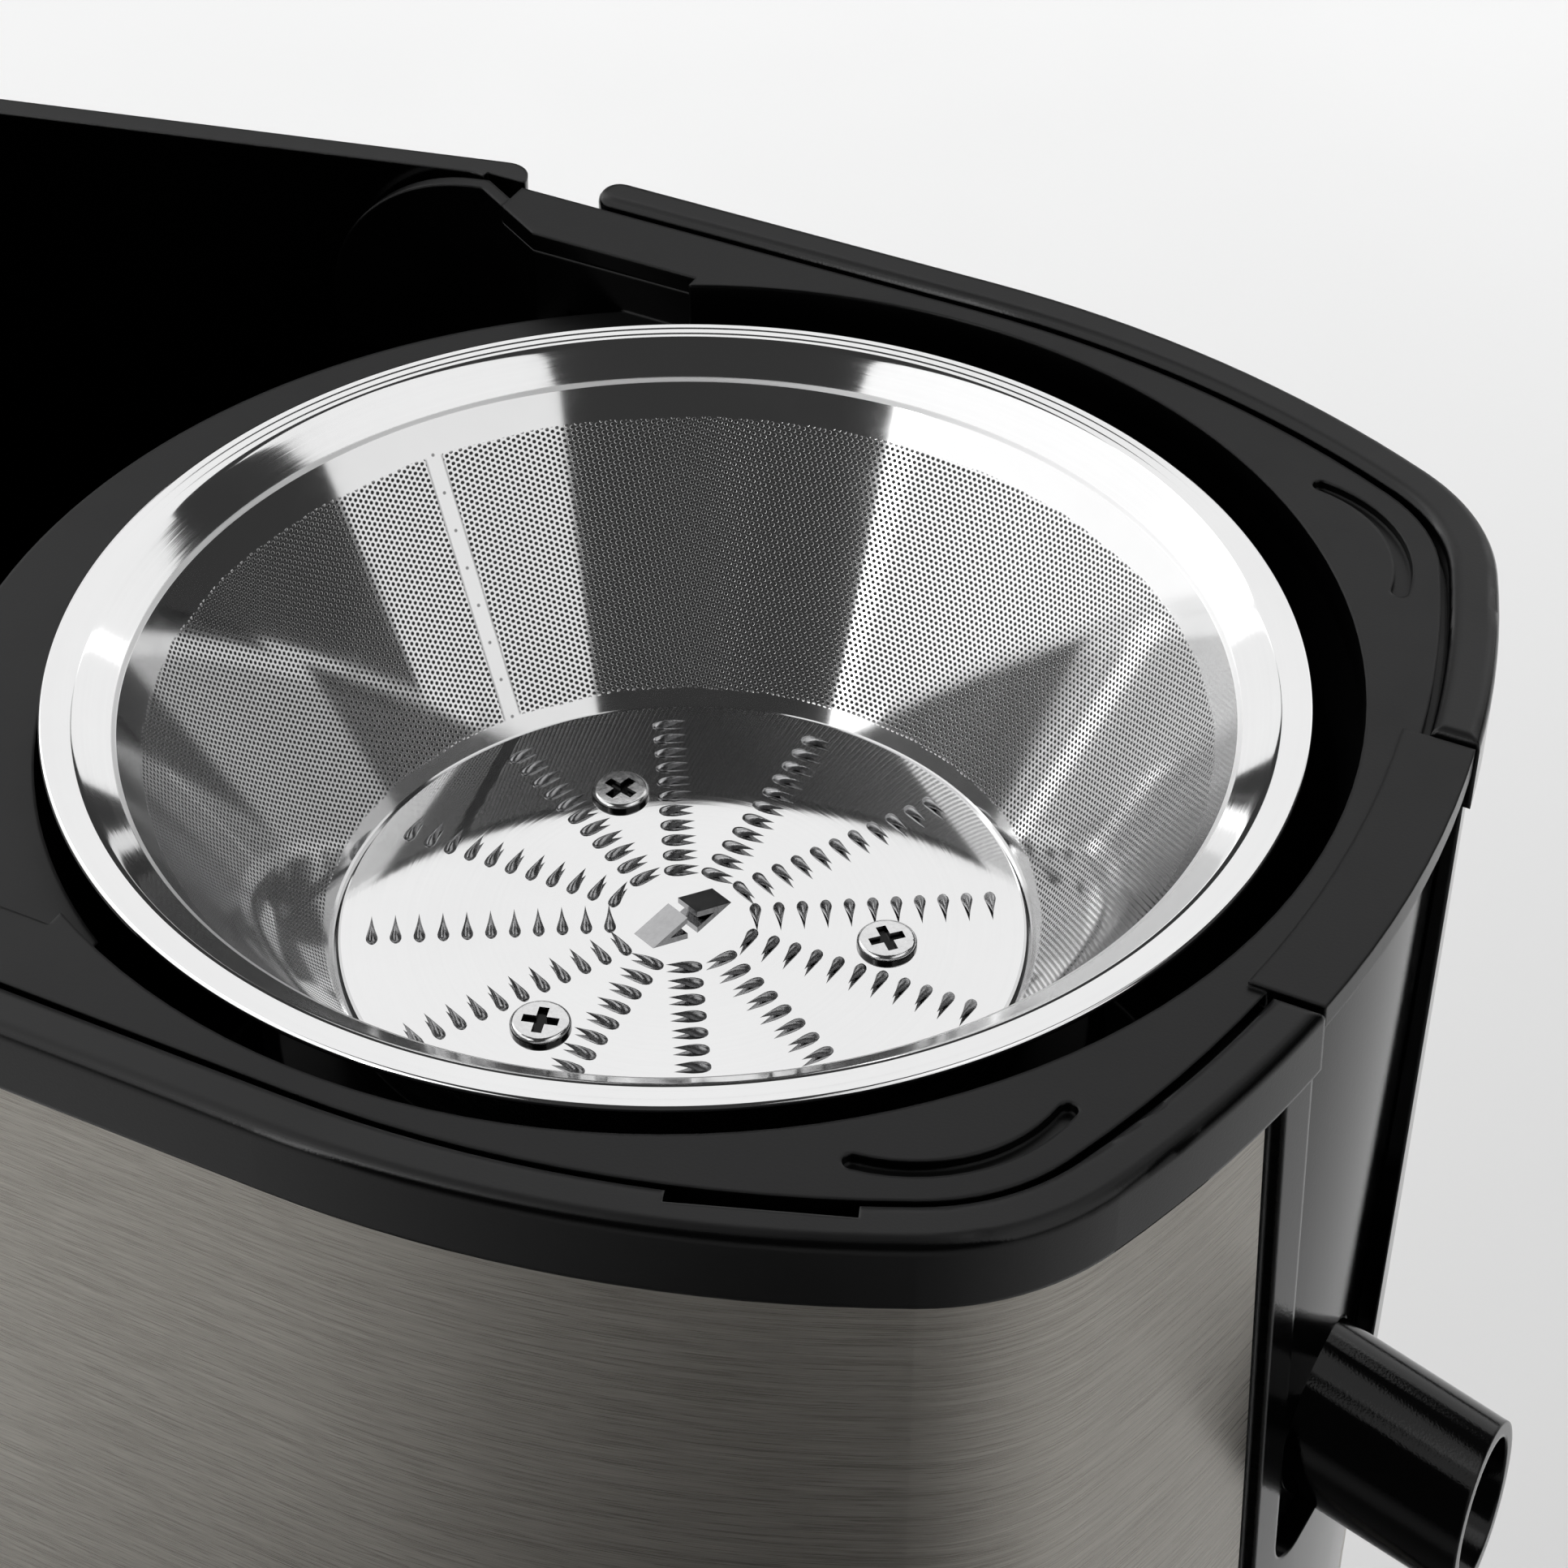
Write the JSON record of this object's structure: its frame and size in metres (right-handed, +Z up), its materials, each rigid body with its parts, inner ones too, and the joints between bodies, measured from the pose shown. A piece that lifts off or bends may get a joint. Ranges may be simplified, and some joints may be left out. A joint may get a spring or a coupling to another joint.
{
  "type": "centrifugal juicer",
  "caption": "Centrifugal juicer without lid: steel-sided motor housing, lift-out juice bowl with spout, perforated basket with grater disc, and slide-off pulp bin.",
  "frame": {"origin": "middle of the whole object's bounding box, on the table under the feet", "axes": "+X from the pulp bin towards the juice spout, -Y the side with the control knob, +Z up along the drive"},
  "size_m": [0.272, 0.182, 0.232],
  "materials": {
    "black_gloss": "gloss",
    "black_satin": "satin",
    "brushed_panel": "brushed",
    "polished_steel": "polished",
    "knob_ring": "satin",
    "dark_rubber": "matte",
    "steel_parts": "machined",
    "laminations": "laminated",
    "copper_parts": "varnished",
    "cast_aluminium": "cast",
    "brass_parts": "drawn",
    "carbon": "matte",
    "inner_moulding": "moulded",
    "board_green": "lacquered",
    "white_mark": "gloss"
  },
  "bodies": {
    "housing": {"motor_housing": "black_gloss", "base_tub": "black_satin", "base_plate": "black_satin", "base_screws": "steel_parts", "rubber_feet": "dark_rubber", "cord_gland": "black_satin", "motor_deck": "black_satin", "shaft_seal": "dark_rubber", "motor_dampers": "dark_rubber", "motor_bolts": "steel_parts", "upper_motor_bracket": "cast_aluminium", "lower_motor_bracket": "cast_aluminium", "upper_bearing": "steel_parts", "lower_bearing": "steel_parts", "stator_core": "laminations", "field_coils": "copper_parts", "brush_plate": "inner_moulding", "brush_holders": "brass_parts", "carbon_brushes": "carbon", "brush_springs": "steel_parts", "control_board": "board_green", "rotary_switch": "inner_moulding", "knob_bezel": "knob_ring", "interlock_switch": "inner_moulding", "interlock_spring": "steel_parts", "control_side_collar": "black_satin", "far_side_collar": "black_satin", "control_side_panel": "brushed_panel", "far_side_panel": "brushed_panel"},
    "drive": {"motor_shaft": "steel_parts", "rotor_core": "laminations", "rotor_windings": "copper_parts", "commutator": "copper_parts", "cooling_fan": "inner_moulding", "drive_coupling": "inner_moulding"},
    "basket": {"basket_rim": "polished_steel", "filter_cone": "polished_steel", "grater_disc": "polished_steel", "disc_screws": "polished_steel", "basket_hub": "black_satin"},
    "bowl": {"juice_bowl": "black_satin", "bowl_dome": "black_satin", "bowl_apron": "black_gloss", "pulp_chute": "black_satin", "juice_spout": "black_gloss"},
    "bin": {"pulp_bin": "black_gloss"},
    "knob": {"control_knob": "black_gloss", "knob_marker": "white_mark"},
    "plunger": {"interlock_plunger": "black_satin"}
  },
  "joints": [
    {"name": "drive_spin", "type": "hinge", "parent": "housing", "child": "drive", "pos_m": [0.032, 0.007, 0.1], "axis": [0, 0, 1], "continuous": true},
    {"name": "basket_lift", "type": "slide", "parent": "drive", "child": "basket", "axis": [0, 0, 1], "range_m": [0, 0.22]},
    {"name": "bowl_lift", "type": "slide", "parent": "housing", "child": "bowl", "axis": [0, 0, 1], "range_m": [0, 0.11]},
    {"name": "bin_slide", "type": "slide", "parent": "housing", "child": "bin", "axis": [-1, 0, 0], "range_m": [0, 0.15]},
    {"name": "knob_turn", "type": "hinge", "parent": "housing", "child": "knob", "pos_m": [0.01, -0.083, 0.108], "axis": [0, -1, 0], "range_deg": [-90, 45]},
    {"name": "interlock_press", "type": "slide", "parent": "housing", "child": "plunger", "axis": [0, 0, -1], "range_m": [0, 0.003], "stiffness_N_per_m": 300, "springref_m": -0.004, "deforming": ["interlock_spring"]}
  ],
  "couplings": [
    {"joint": "bowl_lift", "follows": "basket_lift", "ratio": 0.5}
  ]
}
